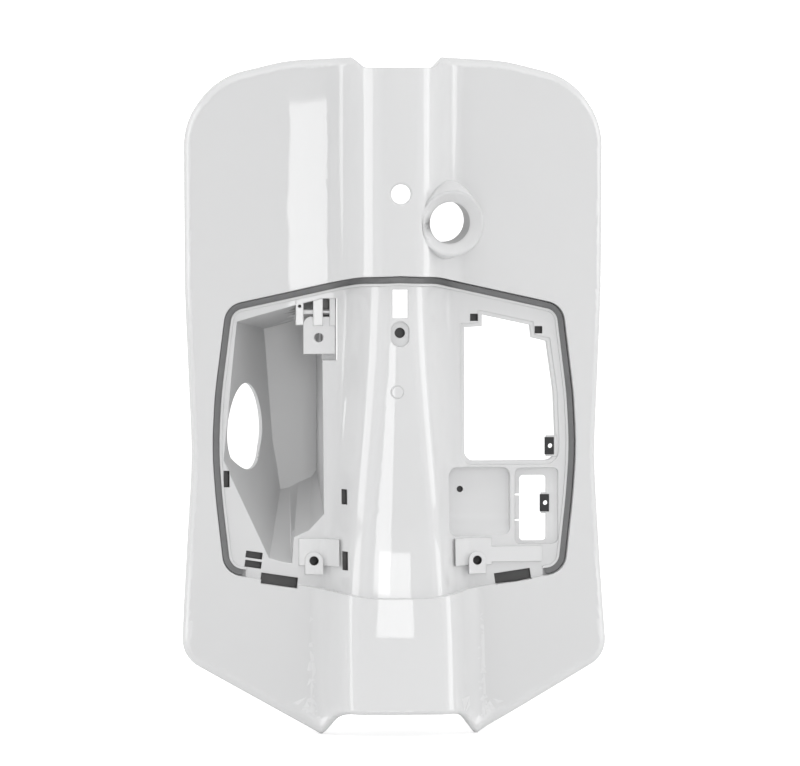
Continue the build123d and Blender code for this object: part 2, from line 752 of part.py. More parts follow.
column_seat = block(
    -SEAT_WIDTH / 2,
    SEAT_WIDTH / 2,
    SEAT_TOP_Z - SEAT_HEIGHT,
    SEAT_TOP_Z,
    SEAT_FRONT_Y,
    0,
    SEAT_WIDTH / 2 - 0.1,
)

with BuildPart() as shell:
    add(rim.part)
    add(skin_volume(-1, FLANGE_DEPTH), mode=Mode.INTERSECT, clean=False)
    add([hollow.part, door_hole.part], mode=Mode.SUBTRACT, clean=False)
    add([lock_boss.part, ribs], clean=False)
    add([lock_bore.part, lock_hollow.part, hook_chamfer.part, holes.part], mode=Mode.SUBTRACT, clean=False)

with BuildPart() as well:
    add(recess.part)
    add(pocket_shell.part, clean=False)
    add([niche_wall, tall_rim, screw_bosses, pads], clean=False)
    add([u_bosses, seat_shell, tray_shell], clean=False)
    add([socket_shell, slot_shells], clean=False)
    add(tray_boss.part, clean=False)
    add([pocket_space.part, pocket_hole.part, tall_step, tall_hole.part], mode=Mode.SUBTRACT, clean=False)
    add([niche, tray_space.part, socket_space, holes.part], mode=Mode.SUBTRACT, clean=False)
    add([column_seat, screw_bores, screw_chambers.part], mode=Mode.SUBTRACT, clean=False)
    add([slot_spaces, date_ring.part], mode=Mode.SUBTRACT, clean=False)
    add([socket_hole, tray_bore.part], mode=Mode.SUBTRACT, clean=False)
    add([bracket.part] + tongues, clean=False)
    add(tongue_holes.part, mode=Mode.SUBTRACT, clean=False)

with BuildPart() as leg_shield:
    add(shell.part)
    add(well.part, clean=False)
    add(slot_spaces, mode=Mode.SUBTRACT, clean=False)
leg_shield.part.label = "leg_shield"

# Rubber seal that lies in the channel
with BuildPart() as glovebox_seal:
    add(
        layer(
            ring_outline(CHANNEL_WIDTH - SEAL_CLEARANCE - SEAL_WIDTH, CHANNEL_WIDTH - SEAL_CLEARANCE),
            CHANNEL_DEPTH - SEAL_HEIGHT,
            CHANNEL_DEPTH - SEAL_CLEARANCE,
        )
    )
glovebox_seal.part.label = "glovebox_seal"


def clip_nut(tip_x, z, tongue_y):
    """Sheet folded round the tip of a tongue, with a threaded collar behind."""
    grip = NUT_SHEET + NUT_CLEARANCE
    slot = WALL + 2 * NUT_CLEARANCE
    collar_y = tongue_y + WALL + grip
    with BuildPart() as nut:
        with BuildSketch(Plane.XY.offset(z - NUT_WIDTH / 2)):
            with Locations((tip_x - grip + NUT_LENGTH / 2, tongue_y + WALL / 2)):
                Rectangle(NUT_LENGTH, slot + 2 * NUT_SHEET)
            with Locations((tip_x - NUT_CLEARANCE + NUT_LENGTH / 2, tongue_y + WALL / 2)):
                Rectangle(NUT_LENGTH, slot, mode=Mode.SUBTRACT)
        extrude(amount=NUT_WIDTH)
        fillet(nut.edges().filter_by(Axis.Z).group_by(Axis.X)[0], NUT_SHEET)
        with BuildSketch(Plane.XZ.offset(-collar_y)):
            with Locations((tip_x + NUT_LENGTH / 2, z)):
                Circle(NUT_HOLE_D / 2 + NUT_COLLAR_WALL)
        extrude(amount=-NUT_COLLAR)
        with BuildSketch(Plane.XZ.offset(-collar_y - NUT_COLLAR)):
            with Locations((tip_x + NUT_LENGTH / 2, z)):
                Circle(NUT_HOLE_D / 2)
        extrude(amount=NUT_COLLAR + slot + 2 * NUT_SHEET, mode=Mode.SUBTRACT)
    return nut.part


with BuildPart() as clip_nuts:
    add(clip_nut(tall_tip_x, TALL_NUT_Z, tall_tongue_y))
    add(clip_nut(socket_tip_x, SOCKET_NUT_Z, socket_floor_y))
clip_nuts.part.label = "clip_nuts"

os.makedirs("parts", exist_ok=True)
export_step(leg_shield.part, "parts/leg_shield.step")
export_step(glovebox_seal.part, "parts/glovebox_seal.step")
export_step(clip_nuts.part, "parts/clip_nuts.step")
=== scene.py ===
import bmesh
import bpy
import math
import numpy as np
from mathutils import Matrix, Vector


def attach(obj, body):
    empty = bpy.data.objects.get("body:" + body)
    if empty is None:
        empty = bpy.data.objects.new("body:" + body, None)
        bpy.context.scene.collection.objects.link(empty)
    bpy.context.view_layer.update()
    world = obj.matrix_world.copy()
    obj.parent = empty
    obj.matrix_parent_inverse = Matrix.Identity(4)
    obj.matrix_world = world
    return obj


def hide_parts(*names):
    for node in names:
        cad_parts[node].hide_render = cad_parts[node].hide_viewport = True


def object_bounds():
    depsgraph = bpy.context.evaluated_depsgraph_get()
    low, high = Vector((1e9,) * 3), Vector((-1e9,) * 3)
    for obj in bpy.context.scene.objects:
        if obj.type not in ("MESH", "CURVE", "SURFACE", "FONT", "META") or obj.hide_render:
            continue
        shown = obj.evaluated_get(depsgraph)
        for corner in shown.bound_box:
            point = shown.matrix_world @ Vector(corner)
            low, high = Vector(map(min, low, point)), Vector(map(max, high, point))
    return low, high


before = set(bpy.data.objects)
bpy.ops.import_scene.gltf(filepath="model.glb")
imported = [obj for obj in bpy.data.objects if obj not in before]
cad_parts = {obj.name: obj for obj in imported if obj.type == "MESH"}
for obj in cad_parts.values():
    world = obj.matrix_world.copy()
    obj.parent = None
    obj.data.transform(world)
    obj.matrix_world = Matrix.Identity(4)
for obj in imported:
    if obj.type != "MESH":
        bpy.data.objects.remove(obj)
first_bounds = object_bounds()

# Leg shield. The real piece is one injection moulding in gloss white plastic, polished on the rider's side
# and satin behind and inside the pocket. Its form is the CAD part's own, merged into one smooth mesh, and
# its shading follows the curved skin that the mould was cut to. The pocket's walls, the niche, the bore
# rims and the insides of the slots and screw holes are darkened with painted shade. Screws and clips hold
# it to the scooter.

# Form of the skin, and how its shading follows it
SPINE_HEIGHT = 0.065
CREST_HALF = (0.028, 0.051)
SPINE_HALF = (0.059, 0.079)
SPREAD_Z = (0.060, -0.330)
CREST_CROWN = 0.004
SPINE_ROUNDING = 0.026
WING_Y = 0.049
WING_SWEEP = (0.025, 0.155)
FOOT_SWEEP = (0.045, -0.200, 0.213)
PLATFORM_DEPTH = 0.010
SKIN_REACH = 0.0016
SWEEP_EASE = 0.5
FOOT_EASE = 1.0
WING_LEAN = math.tan(math.radians(6))
SKIN_TILT = math.cos(math.radians(24))
SMOOTH_TILT = math.cos(math.radians(32))

# Slots as x, z, width, height and tilt, and screw holes as x, z and diameter
SLOTS = [
    (-0.0545, -0.170, 0.005, 0.0155, 0),
    (-0.0545, -0.2355, 0.005, 0.019, 0),
    (-0.174, -0.153, 0.006, 0.017, 0),
    (-0.146, -0.2315, 0.017, 0.007, -8),
    (-0.147, -0.241, 0.017, 0.007, -8),
    (-0.1205, -0.2575, 0.038, 0.011, -8),
    (0.122, -0.254, 0.038, 0.011, 8),
    (0.0817, 0.0142, 0.008, 0.0075, 0),
    (0.1495, 0.001, 0.008, 0.0075, 0),
]
SCREW_HOLES = [
    (-0.0847, -0.237, 0.0094),
    (0.0847, -0.237, 0.0094),
    (-0.079, -0.0065, 0.0094),
    (0.0682, -0.1642, 0.0064),
    (0.0, 0.0, 0.0106),
]
HOLE_MARGIN = 0.0004

# Polish and painted shade: 1 is polished, SATIN is as moulded, and below SATIN the colour is darkened as
# painted shade, down to 0
SATIN = 0.5
POCKET_PAINTED_SHADE = 0.36
NICHE_PAINTED_SHADE = 0.12
RIM_PAINTED_SHADE = 0.25

# Pocket at its mouth and at its back wall, and the pieces that stand in it, as ranges of x and z
POCKET_MOUTH = [
    (-0.167, 0.011), (-0.076, 0.034), (-0.074, -0.189), (-0.090, -0.206), (-0.105, -0.213),
    (-0.107, -0.240), (-0.131, -0.236), (-0.170, -0.163), (-0.185, -0.136),
]
POCKET_BACK = [
    (-0.130, 0.000), (-0.075, 0.015), (-0.075, -0.148), (-0.080, -0.155), (-0.094, -0.161),
    (-0.103, -0.166), (-0.113, -0.168), (-0.117, -0.140), (-0.121, -0.118),
]
POCKET_Y = (0.061, 0.161)
POCKET_MARGIN = 0.0012
BRACKET_BOX = ((-0.104, -0.055), (-0.025, 0.060))
PAD_BOX = ((-0.106, -0.055), (-0.300, -0.2075))
POCKET_BEHIND = 0.0008
NICHE_BOX = ((-0.1045, -0.0595), (0.0150, 0.0365))
NICHE_BEHIND = 0.003
NICHE_CORNER = (-0.0795, 0.0755)

# Bores as a point on the axis, its direction and the radius
LOCK_BORE = ((0.04984, 0.01649, 0.11371), (0.20791, -0.97443, -0.08525), 0.0219)
HOOK_BORE = ((0.0, 0.0, 0.1425), (0.0, 1.0, 0.0), 0.0103)
LATCH_BOX = ((-0.0081, 0.0081), (0.0152, 0.0448))

# Right half of the outline, from the neck to the arch, and how far the rolled edge reaches in from it
OUTLINE = [
    (0.0, 0.272), (0.036, 0.272), (0.047, 0.283), (0.112, 0.2795), (0.184, 0.262), (0.217, 0.215),
    (0.216, 0.040), (0.2085, -0.130), (0.2205, -0.337), (0.079, -0.414), (0.060, -0.3895), (0.0, -0.3895),
]
OUTLINE_RADII = [0.008, 0.0005, 0.150, 0.076, 0.076, 1.5, 0.6, 0.030, 0.0005, 0.020]
ROLL = 0.0135
FACES_BACK = 0.5
FACES_RIDER = -0.3

# Softness of the edges, which is larger round the lock, and the surface of the moulding
LOCK_MIDDLE = (0.054, -0.003, 0.112)
LOCK_SOFT = (0.040, 0.056)
LOCK_SOFTNESS = 0.0050
EDGE_SOFTNESS = 0.0014
DARKEST_HAZE = 0.985
HAZE_SMEAR = 0.03
PEEL_HEIGHT = 0.012


def skin_y(x, z, inset=0.0):
    """Y of the moulding's skin, or of the surface that lies inset behind it."""
    share = np.clip((SPREAD_Z[0] - z) / (SPREAD_Z[0] - SPREAD_Z[1]), 0, 1)
    spread = share * share * (3 - 2 * share)
    crest = CREST_HALF[0] + (CREST_HALF[1] - CREST_HALF[0]) * spread
    root = SPINE_HALF[0] + (SPINE_HALF[1] - SPINE_HALF[0]) * spread
    side = np.maximum(np.abs(x) - SPINE_HALF[0], 0) / WING_SWEEP[1]
    foot = np.maximum(FOOT_SWEEP[1] - z, 0) / FOOT_SWEEP[2]
    wing = WING_Y + WING_SWEEP[0] * side**2 - FOOT_SWEEP[0] * foot**2
    slope = SPINE_HEIGHT / (root - crest)
    flank = (root - np.abs(x)) * slope - inset * (np.sqrt(1 + slope**2) - 1)
    crown = SPINE_HEIGHT - CREST_CROWN * (x / crest) ** 2
    cut = np.maximum(SPINE_ROUNDING - np.abs(flank - crown), 0) ** 2 / (4 * SPINE_ROUNDING)
    low = np.minimum(flank, crown) - cut
    rise = np.maximum(low, 0) + np.maximum(SPINE_ROUNDING - np.abs(low), 0) ** 2 / (4 * SPINE_ROUNDING)
    return wing - rise + inset


def skin_normals(x, z, inset):
    """Normals of that surface on the rider's side, with the sweep of the wings and of their foot eased."""
    step = 0.0005
    side = np.maximum(np.abs(x) - SPINE_HALF[0], 0) / WING_SWEEP[1]
    along_x = (skin_y(x + step, z, inset) - skin_y(x - step, z, inset)) / (2 * step)
    along_x = along_x - SWEEP_EASE * np.sign(x) * 2 * WING_SWEEP[0] * side / WING_SWEEP[1]
    along_z = (skin_y(x, z + step, inset) - skin_y(x, z - step, inset)) / (2 * step)
    on_wing = np.clip((np.abs(x) - CREST_HALF[1]) / (SPINE_HALF[0] - CREST_HALF[1]), 0, 1)
    foot = np.maximum(FOOT_SWEEP[1] - z, 0) / FOOT_SWEEP[2]
    along_z = along_z - on_wing * (FOOT_EASE * 2 * FOOT_SWEEP[0] * foot / FOOT_SWEEP[2] + WING_LEAN)
    normals = np.stack([along_x, -np.ones_like(x), along_z], axis=1)
    return normals / np.linalg.norm(normals, axis=1)[:, None]


def merged_copy(node, name):
    """The CAD node's mesh with its loose triangles merged, as a piece of its own."""
    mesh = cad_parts[node].data.copy()
    mesh.name = name
    mesh.materials.clear()
    work = bmesh.new()
    work.from_mesh(mesh)
    bmesh.ops.remove_doubles(work, verts=work.verts, dist=2e-6)
    bmesh.ops.dissolve_degenerate(work, edges=work.edges, dist=2e-6)
    work.to_mesh(mesh)
    work.free()
    piece = bpy.data.objects.new(name, mesh)
    bpy.context.scene.collection.objects.link(piece)
    return piece


def mesh_arrays(mesh):
    """Vertices, triangles, unit face normals and areas."""
    places = np.empty(len(mesh.vertices) * 3)
    mesh.vertices.foreach_get("co", places)
    places = places.reshape(-1, 3)
    corners = np.empty(len(mesh.loops), int)
    mesh.loops.foreach_get("vertex_index", corners)
    corners = corners.reshape(-1, 3)
    first, second, third = (places[corners[:, i]] for i in range(3))
    cross = np.cross(second - first, third - first)
    length = np.linalg.norm(cross, axis=1)
    return places, corners, cross / np.maximum(length, 1e-12)[:, None], length


def smooth_corner_normals(places, corners, normals, weights):
    """A corner's normal is the mean of the faces at its vertex that lean less than SMOOTH_TILT away."""
    vertex = corners.ravel()
    face = np.repeat(np.arange(len(corners)), 3)
    order = np.argsort(vertex, kind="stable")
    starts = np.searchsorted(vertex[order], np.arange(len(places) + 1))
    result = np.empty((len(vertex), 3))
    for i in range(len(places)):
        ring = order[starts[i]:starts[i + 1]]
        faces = face[ring]
        own = normals[faces]
        near = own @ own.T > SMOOTH_TILT
        result[ring] = (near * weights[faces]) @ own
    return result / np.maximum(np.linalg.norm(result, axis=1), 1e-12)[:, None]


def within(places, box):
    """True for the places whose x and z lie in box."""
    (left, right), (bottom, top) = box
    return (places[:, 0] > left) & (places[:, 0] < right) & (places[:, 2] > bottom) & (places[:, 2] < top)


def round_bore(places, bore):
    """True for the places inside a bore, given by a point on its axis, its direction and its radius."""
    point, direction, radius = bore
    away = places - np.array(point)
    along = away @ np.array(direction)
    return np.linalg.norm(away - along[:, None] * np.array(direction), axis=1) < radius


def rounded_line(points, radii, step=0.003):
    """Points along a line whose corners are rounded, evenly spaced."""
    line = [np.array(points[0])]
    for i, radius in enumerate(radii, 1):
        before, corner, after = (np.array(points[j]) for j in (i - 1, i, i + 1))
        back = (before - corner) / np.linalg.norm(before - corner)
        on = (after - corner) / np.linalg.norm(after - corner)
        half = math.acos(np.clip(back @ on, -1, 1)) / 2
        middle = corner + (back + on) / np.linalg.norm(back + on) * radius / math.sin(half)
        start = corner + back * radius / math.tan(half)
        end = corner + on * radius / math.tan(half)
        for t in np.linspace(0, 1, 17):
            spoke = start + (end - start) * t - middle
            line.append(middle + spoke / np.linalg.norm(spoke) * radius)
    line.append(np.array(points[-1]))
    line = np.array(line)
    run = np.concatenate([[0], np.cumsum(np.linalg.norm(np.diff(line, axis=0), axis=1))])
    even = np.linspace(0, run[-1], int(run[-1] / step) + 1)
    return np.stack([np.interp(even, run, line[:, 0]), np.interp(even, run, line[:, 1])], axis=1)


def on_rolled_edge(places, normals):
    """True for the places on the rolled edge and on the outer side of the flange."""
    line = rounded_line(OUTLINE, OUTLINE_RADII, step=0.004)
    across = np.abs(places[:, :1]) - line[:, 0]
    up = places[:, 2:] - line[:, 1]
    near = np.sqrt(across**2 + up**2).min(axis=1) < ROLL
    middle_z = (OUTLINE[0][1] + OUTLINE[-1][1]) / 2
    outward = places[:, 0] * normals[:, 0] + (places[:, 2] - middle_z) * normals[:, 2] > 0
    return near & (normals[:, 1] < FACES_BACK) & (outward | (normals[:, 1] < FACES_RIDER))


def inside_pocket(places):
    """True for the places in the pocket or on its inner walls."""
    share = np.clip((places[:, 1] - POCKET_Y[0]) / (POCKET_Y[1] - POCKET_Y[0]), 0, 1)
    mouth = np.array(POCKET_MOUTH)
    corners = mouth + (np.array(POCKET_BACK) - mouth) * share[:, None, None]
    spokes = corners - corners.mean(axis=1, keepdims=True)
    corners = corners + spokes / np.linalg.norm(spokes, axis=2, keepdims=True) * POCKET_MARGIN
    x, z = places[:, 0], places[:, 2]
    inside = np.zeros(len(places), bool)
    for start, end in zip(np.moveaxis(corners, 1, 0), np.moveaxis(np.roll(corners, -1, axis=1), 1, 0)):
        crosses = (start[:, 1] > z) != (end[:, 1] > z)
        with np.errstate(divide="ignore", invalid="ignore"):
            at = start[:, 0] + (z - start[:, 1]) / (end[:, 1] - start[:, 1]) * (end[:, 0] - start[:, 0])
        inside ^= crosses & (x < at)
    return inside & (places[:, 1] < POCKET_Y[1] + POCKET_MARGIN)


def inside_openings(places):
    """True for the places that lie inside a slot or a screw hole, behind the recess floor."""
    x, y, z = places.T
    found = np.zeros(len(places), bool)
    for middle_x, middle_z, width, height, tilt in SLOTS:
        turn = math.radians(tilt)
        across = (x - middle_x) * math.cos(turn) + (z - middle_z) * math.sin(turn)
        up = (z - middle_z) * math.cos(turn) - (x - middle_x) * math.sin(turn)
        found |= (np.abs(across) < width / 2 + HOLE_MARGIN) & (np.abs(up) < height / 2 + HOLE_MARGIN)
    for middle_x, middle_z, diameter in SCREW_HOLES:
        found |= np.hypot(x - middle_x, z - middle_z) < diameter / 2 + HOLE_MARGIN
    return found & (y > skin_y(x, z, PLATFORM_DEPTH) + HOLE_MARGIN)


def follow_skin(piece):
    """Gives corners on the skin and recess floor the true surface's normals, and each face its polish and
    its painted shade.
    """
    mesh = piece.data
    places, corners, normals, weights = mesh_arrays(mesh)
    shading = smooth_corner_normals(places, corners, normals, weights)
    vertex = corners.ravel()
    x, y, z = places.T
    own = np.repeat(normals, 3, axis=0)
    polish_and_shade = np.full(len(corners), SATIN)
    for inset in (0.0, PLATFORM_DEPTH):
        on_skin = np.abs(y - skin_y(x, z, inset)) < SKIN_REACH
        true = skin_normals(x, z, inset)
        chosen = on_skin[vertex] & (np.sum(own * true[vertex], axis=1) > SKIN_TILT)
        shading[chosen] = true[vertex][chosen]
        polish_and_shade[chosen.reshape(-1, 3).all(axis=1)] = 1.0
    middle = places[corners].mean(axis=1)
    depth = middle[:, 1] - skin_y(middle[:, 0], middle[:, 2], PLATFORM_DEPTH)
    polish_and_shade[on_rolled_edge(middle, normals)] = 1.0
    in_pocket = inside_pocket(middle)
    # Painted shade: the pocket's walls behind the recess floor are darkened, all but the bracket and the
    # pad.
    pocket_shade = in_pocket & ~within(middle, BRACKET_BOX) & ~within(middle, PAD_BOX)
    polish_and_shade[pocket_shade & (depth > POCKET_BEHIND) & (polish_and_shade < 1)] = POCKET_PAINTED_SHADE
    # Painted shade: the walls of the lock bore, the hook hole and the latch hole are darkened into dark
    # rims.
    rims = round_bore(middle, LOCK_BORE) | round_bore(middle, HOOK_BORE) | within(middle, LATCH_BOX)
    polish_and_shade[rims & (polish_and_shade < 1)] = RIM_PAINTED_SHADE
    # Painted shade: the faces in the niche, deeper than NICHE_BEHIND, are darkened nearly to the shade
    # colour.
    niche = in_pocket | (middle[:, 0] > NICHE_CORNER[0]) & (middle[:, 1] < NICHE_CORNER[1])
    polish_and_shade[niche & within(middle, NICHE_BOX) & (depth > NICHE_BEHIND)] = NICHE_PAINTED_SHADE
    # Painted shade: the insides of the slots and screw holes get the full shade colour.
    polish_and_shade[inside_openings(middle) & (normals[:, 1] < FACES_BACK)] = 0.0
    mesh.polygons.foreach_set("use_smooth", np.ones(len(mesh.polygons), bool))
    mesh.normals_split_custom_set(shading)
    mesh.attributes.new("polish_and_shade", "FLOAT", "FACE").data.foreach_set("value", polish_and_shade.astype(np.float32))


def node(tree, kind, place, **values):
    """A shader node with its properties and input values set."""
    made = tree.nodes.new(kind)
    made.location = place
    for key, value in values.items():
        if key in made.inputs:
            made.inputs[key].default_value = value
        else:
            setattr(made, key, value)
    return made


def group_with(name, inputs, outputs):
    """An empty shader node group with its sockets, and its input and output nodes."""
    tree = bpy.data.node_groups.new(name, "ShaderNodeTree")
    for label, kind, value in inputs:
        socket = tree.interface.new_socket(label, in_out="INPUT", socket_type=kind)
        socket.default_value = value
    for label, kind in outputs:
        tree.interface.new_socket(label, in_out="OUTPUT", socket_type=kind)
    return tree, node(tree, "NodeGroupInput", (-900, 0)), node(tree, "NodeGroupOutput", (600, 0))


def moulded_surface_group():
    """Object coordinates and polish in, and the fine waviness, haze and tint of moulded plastic out, with
    painted shade mixed into the colour where the polish lies below SATIN.
    """
    tree, source, result = group_with(
        "moulded_surface",
        [
            ("Polish and shade", "NodeSocketFloat", 1.0),
            ("Colour", "NodeSocketColor", (0.8, 0.8, 0.8, 1)),
            ("Shade colour", "NodeSocketColor", (0.1, 0.1, 0.1, 1)),
            ("Gloss roughness", "NodeSocketFloat", 0.08),
            ("Satin roughness", "NodeSocketFloat", 0.4),
        ],
        [("Colour", "NodeSocketColor"), ("Roughness", "NodeSocketFloat"), ("Height", "NodeSocketFloat")],
    )
    links = tree.links
    place = node(tree, "ShaderNodeTexCoord", (-900, -260))
    waves = node(tree, "ShaderNodeTexNoise", (-650, -120), Scale=16.0, Detail=1.0)
    peel = node(tree, "ShaderNodeTexNoise", (-650, -420), Scale=420.0, Detail=2.0)
    haze = node(tree, "ShaderNodeTexNoise", (-650, 240), Scale=9.0, Detail=4.0, Roughness=0.65)
    for texture in (waves, peel, haze):
        links.new(place.outputs["Object"], texture.inputs["Vector"])
    rough = node(tree, "ShaderNodeMapRange", (-380, 80))
    links.new(source.outputs["Polish and shade"], rough.inputs["Value"])
    links.new(source.outputs["Satin roughness"], rough.inputs["To Min"])
    links.new(source.outputs["Gloss roughness"], rough.inputs["To Max"])
    rough.inputs["From Min"].default_value = SATIN
    smear = node(tree, "ShaderNodeMath", (-380, 300), operation="MULTIPLY_ADD")
    smear.inputs[1].default_value = HAZE_SMEAR
    links.new(haze.outputs["Fac"], smear.inputs[0])
    links.new(rough.outputs["Result"], smear.inputs[2])
    tint = node(tree, "ShaderNodeMapRange", (-380, 520))
    tint.inputs["To Min"].default_value = DARKEST_HAZE
    tint.inputs["To Max"].default_value = 1.0
    links.new(haze.outputs["Fac"], tint.inputs["Value"])
    colour = node(tree, "ShaderNodeMix", (0, 420), data_type="RGBA", blend_type="MULTIPLY")
    colour.inputs["Factor"].default_value = 1.0
    # Painted shade: below SATIN the colour is mixed towards the shade colour, down to it at 0.
    shade_share = node(tree, "ShaderNodeMapRange", (-620, 640))
    shade_share.inputs["From Max"].default_value = SATIN
    links.new(source.outputs["Polish and shade"], shade_share.inputs["Value"])
    shaded_colour = node(tree, "ShaderNodeMix", (-300, 700), data_type="RGBA")
    links.new(shade_share.outputs["Result"], shaded_colour.inputs["Factor"])
    links.new(source.outputs["Shade colour"], shaded_colour.inputs["A"])
    links.new(source.outputs["Colour"], shaded_colour.inputs["B"])
    links.new(shaded_colour.outputs["Result"], colour.inputs["A"])
    links.new(tint.outputs["Result"], colour.inputs["B"])
    height = node(tree, "ShaderNodeMath", (-380, -260), operation="MULTIPLY_ADD")
    height.inputs[1].default_value = PEEL_HEIGHT
    links.new(peel.outputs["Fac"], height.inputs[0])
    links.new(waves.outputs["Fac"], height.inputs[2])
    links.new(colour.outputs["Result"], result.inputs["Colour"])
    links.new(smear.outputs["Value"], result.inputs["Roughness"])
    links.new(height.outputs["Value"], result.inputs["Height"])
    return tree


def shield_material():
    material = bpy.data.materials.new("gloss_white_moulding")
    material.use_nodes = True
    tree = material.node_tree
    shader = tree.nodes["Principled BSDF"]
    surface = node(tree, "ShaderNodeGroup", (-500, 100), node_tree=moulded_surface_group())
    surface.inputs["Colour"].default_value = (0.76, 0.762, 0.765, 1)
    surface.inputs["Gloss roughness"].default_value = 0.02
    surface.inputs["Satin roughness"].default_value = 0.38
    # The attribute sets the roughness and, below SATIN, the painted shade in the colour.
    shade_polish_node = node(tree, "ShaderNodeAttribute", (-950, 200), attribute_name="polish_and_shade")
    place = node(tree, "ShaderNodeTexCoord", (-1300, -350))
    apart = node(tree, "ShaderNodeVectorMath", (-1100, -350), operation="DISTANCE")
    apart.inputs[1].default_value = LOCK_MIDDLE
    soft = node(tree, "ShaderNodeMapRange", (-850, -350))
    soft.inputs["From Min"].default_value, soft.inputs["From Max"].default_value = LOCK_SOFT
    soft.inputs["To Min"].default_value = LOCK_SOFTNESS
    soft.inputs["To Max"].default_value = EDGE_SOFTNESS
    edge = node(tree, "ShaderNodeBevel", (-500, -350), samples=6)
    bump = node(tree, "ShaderNodeBump", (-250, -200), Strength=0.35, Distance=0.0006)
    tree.links.new(shade_polish_node.outputs["Fac"], surface.inputs["Polish and shade"])
    tree.links.new(surface.outputs["Colour"], shader.inputs["Base Color"])
    tree.links.new(surface.outputs["Roughness"], shader.inputs["Roughness"])
    tree.links.new(surface.outputs["Height"], bump.inputs["Height"])
    tree.links.new(place.outputs["Object"], apart.inputs[0])
    tree.links.new(apart.outputs["Value"], soft.inputs["Value"])
    tree.links.new(soft.outputs["Result"], edge.inputs["Radius"])
    tree.links.new(edge.outputs["Normal"], bump.inputs["Normal"])
    tree.links.new(bump.outputs["Normal"], shader.inputs["Normal"])
    shader.inputs["IOR"].default_value = 1.5
    return material


shield = merged_copy("leg_shield", "leg_shield_moulding")
follow_skin(shield)
shield.data.materials.append(shield_material())
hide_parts("leg_shield")
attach(shield, "root")

# Door seal. An extruded strip with a grooved head and a lip, pressed into the channel from one lower corner
# of the recess over the top to the other, and ending square. Its mid grey is painted shade for the deep
# channel.
DOOR_POINTS = [
    (0.040, 0.057), (0.175, 0.027), (0.1865, -0.065), (0.1895, -0.122),
    (0.1855, -0.175), (0.177, -0.2505), (0.030, -0.2725),
]
DOOR_RADII = [0.060, 0.022, 0.400, 0.400, 0.400, 0.022]
DOOR_TOP_Z = 0.0585
CHANNEL_WIDTH = 0.0073
CHANNEL_DEPTH = 0.018
SEAL_WIDTH = 0.0046
SEAL_HEIGHT = 0.008
SEAL_CLEARANCE = 0.0003
SEAL_END_X = 0.1545
SEAL_FOOT_Z = -0.2
SEAL_FLARE = 0.0044
SEAL_HEAD_HEIGHT = 0.0025
SEAL_GROOVE = 0.0008
SEAL_EDGE = 0.0006
SEAL_LIP_DROP = (0.0001, 0.0004, 0.0012)


def seal_route():
    """Middle of the seal, from the lower right corner over the top to the lower left one."""
    half = rounded_line([(0.0, DOOR_TOP_Z)] + DOOR_POINTS, DOOR_RADII)
    along = np.gradient(half, axis=0)
    along /= np.linalg.norm(along, axis=1)[:, None]
    inward = np.stack([along[:, 1], -along[:, 0]], axis=1)
    half = half + inward * (CHANNEL_WIDTH - SEAL_CLEARANCE - SEAL_WIDTH / 2)
    half = half[: np.argmax((half[:, 0] < SEAL_END_X) & (half[:, 1] < SEAL_FOOT_Z)) or None]
    line = np.concatenate([half[::-1], (half * (-1, 1))[1:]])
    middle = skin_y(line[:, 0], line[:, 1], CHANNEL_DEPTH - SEAL_HEIGHT / 2 - SEAL_CLEARANCE / 2)
    return np.stack([line[:, 0], middle, line[:, 1]], axis=1)


def curve_object(name, points, closed=False):
    """A poly curve through points, used as input for Geometry Nodes."""
    data = bpy.data.curves.new(name, "CURVE")
    data.dimensions = "3D"
    spline = data.splines.new("POLY")
    spline.points.add(len(points) - 1)
    for target, point in zip(spline.points, points):
        target.co = (*point, 1)
    spline.use_cyclic_u = closed
    made = bpy.data.objects.new(name, data)
    bpy.context.scene.collection.objects.link(made)
    return made


def seal_profile():
    """Section of the strip: a straight stem, a groove along its head and a lip that flares outwards."""
    wide = SEAL_WIDTH / 2
    high = (SEAL_HEIGHT - SEAL_CLEARANCE) / 2
    crown, bend, tip = SEAL_LIP_DROP
    section = [
        (wide, -high),
        (wide, high - SEAL_HEAD_HEIGHT),
        (wide, high - SEAL_EDGE),
        (wide - SEAL_EDGE, high),
        (SEAL_GROOVE, high - crown),
        (0.0, high - SEAL_GROOVE),
        (-SEAL_GROOVE, high - crown),
        (SEAL_GROOVE - SEAL_FLARE, high - bend),
        (-SEAL_FLARE, high - tip),
        (-wide, high - SEAL_HEAD_HEIGHT),
        (-wide, -high),
    ]
    return [(x, y, 0) for x, y in section]


def sweep_tree(profile, material):
    """Geometry Nodes: the profile follows the route with its top to the rider."""
    tree = bpy.data.node_groups.new("sweep_seal", "GeometryNodeTree")
    tree.interface.new_socket("Geometry", in_out="INPUT", socket_type="NodeSocketGeometry")
    tree.interface.new_socket("Geometry", in_out="OUTPUT", socket_type="NodeSocketGeometry")
    source = node(tree, "NodeGroupInput", (-600, 0))
    section = node(tree, "GeometryNodeObjectInfo", (-600, -250))
    section.inputs["Object"].default_value = profile
    facing = node(tree, "GeometryNodeSetCurveNormal", (-400, 0), mode="FREE")
    facing.inputs["Normal"].default_value = (0, -1, 0)
    sweep = node(tree, "GeometryNodeCurveToMesh", (-200, 0))
    sweep.inputs["Fill Caps"].default_value = True
    whole = node(tree, "GeometryNodeRealizeInstances", (0, 0))
    coat = node(tree, "GeometryNodeSetMaterial", (200, 0))
    coat.inputs["Material"].default_value = material
    result = node(tree, "NodeGroupOutput", (400, 0))
    tree.links.new(source.outputs[0], facing.inputs["Curve"])
    tree.links.new(facing.outputs["Curve"], sweep.inputs["Curve"])
    tree.links.new(section.outputs["Geometry"], sweep.inputs["Profile Curve"])
    tree.links.new(sweep.outputs["Mesh"], whole.inputs["Geometry"])
    tree.links.new(whole.outputs["Geometry"], coat.inputs["Geometry"])
    tree.links.new(coat.outputs["Geometry"], result.inputs[0])
    return tree


